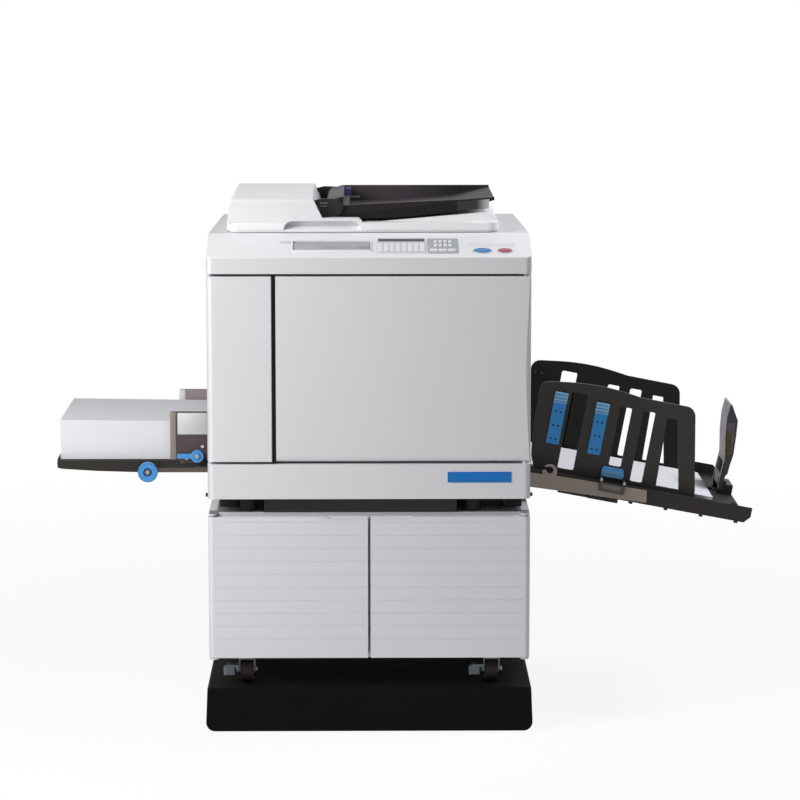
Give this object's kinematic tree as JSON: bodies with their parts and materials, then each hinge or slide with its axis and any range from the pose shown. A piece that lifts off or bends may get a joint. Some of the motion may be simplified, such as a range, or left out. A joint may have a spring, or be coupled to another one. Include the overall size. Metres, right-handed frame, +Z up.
{
  "type": "digital duplicator on a cabinet stand",
  "caption": "Office stencil duplicator with scanner lid, document feeder, paper feed tray, slotted receiving tray and a two-door cabinet on casters.",
  "frame": {"origin": "centre of the plinth's underside, below the middle of the machine", "axes": "+X to the machine's right along its longest extent, +Y to its back, +Z up"},
  "size_m": [1.4, 0.644, 1.051],
  "materials": {
    "white_plastic": "satin moulded plastic",
    "white_metal": "satin powder coat",
    "dark_chassis": "matt grey paint",
    "black_plastic": "fine-grained moulded plastic",
    "grey_plastic": "fine-grained moulded plastic",
    "brown_plastic": "fine-grained moulded plastic",
    "brown_steel": "satin paint",
    "blue_plastic": "satin moulded plastic",
    "steel": "bright zinc plate",
    "rubber": "matt rubber",
    "glass": "polished flat glass",
    "paper": "uncoated paper",
    "screen_blue": "satin lacquer"
  },
  "bodies": {
    "machine": {"plinth": "black_plastic", "caster_forks": "steel", "caster_wheels": "rubber", "cabinet_floor": "white_metal", "cabinet_shell": "white_metal", "cabinet_top": "white_metal", "base_beams": "black_plastic", "machine_feet": "rubber", "machine_base": "dark_chassis", "base_fascia": "white_plastic", "body_core": "dark_chassis", "left_side_cover": "white_plastic", "right_side_cover": "white_plastic", "back_cover": "white_metal", "left_front_cover": "white_plastic", "top_strip": "white_plastic", "control_panel": "white_plastic", "scanner_deck": "white_plastic", "stage_glass": "glass", "print_drum": "screen_blue", "guide_rods": "steel", "receiving_tray": "grey_plastic", "tray_arms": "brown_steel", "delivered_sheets": "paper"},
    "cabinet_door_left": {"cabinet_door_left": "white_metal"},
    "cabinet_door_right": {"cabinet_door_right": "white_metal"},
    "front_door": {"front_door": "white_plastic"},
    "lid": {"scanner_lid": "white_plastic", "feeder_housing": "white_plastic", "tray_cheeks": "black_plastic"},
    "document_tray": {"document_tray": "black_plastic"},
    "feed_lift": {"feed_carriage": "brown_steel"},
    "position_dial": {"position_dial": "blue_plastic"},
    "feed_tray": {"feed_tray": "grey_plastic", "paper_stack": "paper"},
    "feed_fence_front": {"feed_fence_front": "brown_plastic"},
    "feed_fence_rear": {"feed_fence_rear": "brown_plastic"},
    "lock_lever": {"lock_lever": "blue_plastic"},
    "receiving_fence_front": {"receiving_fence_front": "grey_plastic", "arrangers_front": "blue_plastic", "fence_handle": "blue_plastic"},
    "receiving_fence_rear": {"receiving_fence_rear": "grey_plastic", "arrangers_rear": "blue_plastic"},
    "stopper_base": {"stopper_base": "black_plastic"},
    "stopper_plate": {"stopper_plate": "grey_plastic"}
  },
  "joints": [
    {"name": "front_door_hinge", "type": "hinge", "parent": "machine", "child": "front_door", "pos_m": [0.305, -0.308, 0.7245], "axis": [0, 0, 1], "range_deg": [0, 100]},
    {"name": "cabinet_door_left_hinge", "type": "hinge", "parent": "machine", "child": "cabinet_door_left", "pos_m": [-0.307, -0.31, 0.2905], "axis": [0, 0, -1], "range_deg": [0, 105]},
    {"name": "cabinet_door_right_hinge", "type": "hinge", "parent": "machine", "child": "cabinet_door_right", "pos_m": [0.307, -0.31, 0.2905], "axis": [0, 0, 1], "range_deg": [0, 105]},
    {"name": "lid_hinge", "type": "hinge", "parent": "machine", "child": "lid", "pos_m": [0, 0.216, 0.995], "axis": [-1, 0, 0], "range_deg": [0, 65]},
    {"name": "document_tray_hinge", "type": "hinge", "parent": "lid", "child": "document_tray", "pos_m": [-0.068, -0.015, 1.029], "axis": [0, -1, 0], "range_deg": [0, 45]},
    {"name": "feed_lift", "type": "slide", "parent": "machine", "child": "feed_lift", "axis": [0, 0, 1], "range_m": [0, 0.038]},
    {"name": "feed_shift", "type": "slide", "parent": "feed_lift", "child": "feed_tray", "axis": [0, 1, 0], "range_m": [-0.01, 0.01]},
    {"name": "position_dial_turn", "type": "hinge", "parent": "feed_lift", "child": "position_dial", "pos_m": [-0.444, -0.16, 0.4972], "axis": [0, 1, 0], "range_deg": [-180, 180]},
    {"name": "feed_fence_front_slide", "type": "slide", "parent": "feed_tray", "child": "feed_fence_front", "axis": [0, -1, 0], "range_m": [0, 0.02]},
    {"name": "feed_fence_rear_slide", "type": "slide", "parent": "feed_tray", "child": "feed_fence_rear", "axis": [0, 1, 0], "range_m": [0, 0.02]},
    {"name": "lock_lever_turn", "type": "hinge", "parent": "feed_fence_front", "child": "lock_lever", "pos_m": [-0.3455, -0.16, 0.5275], "axis": [0, 1, 0], "range_deg": [0, 50]},
    {"name": "receiving_fence_front_slide", "type": "slide", "parent": "machine", "child": "receiving_fence_front", "axis": [0, -1, 0], "range_m": [0, 0.02]},
    {"name": "receiving_fence_rear_slide", "type": "slide", "parent": "machine", "child": "receiving_fence_rear", "axis": [0, 1, 0], "range_m": [0, 0.02]},
    {"name": "stopper_slide", "type": "slide", "parent": "machine", "child": "stopper_base", "axis": [0.9829, 0, -0.184], "range_m": [0, 0.02]},
    {"name": "stopper_fold", "type": "hinge", "parent": "stopper_base", "child": "stopper_plate", "pos_m": [0.72761, 0.013, 0.4455], "axis": [0, -1, 0], "range_deg": [0, 85]}
  ],
  "couplings": [
    {"joint": "position_dial_turn", "follows": "feed_shift", "rad_per_m": 314},
    {"joint": "feed_fence_rear_slide", "follows": "feed_fence_front_slide", "ratio": 1},
    {"joint": "receiving_fence_rear_slide", "follows": "receiving_fence_front_slide", "ratio": 1}
  ]
}
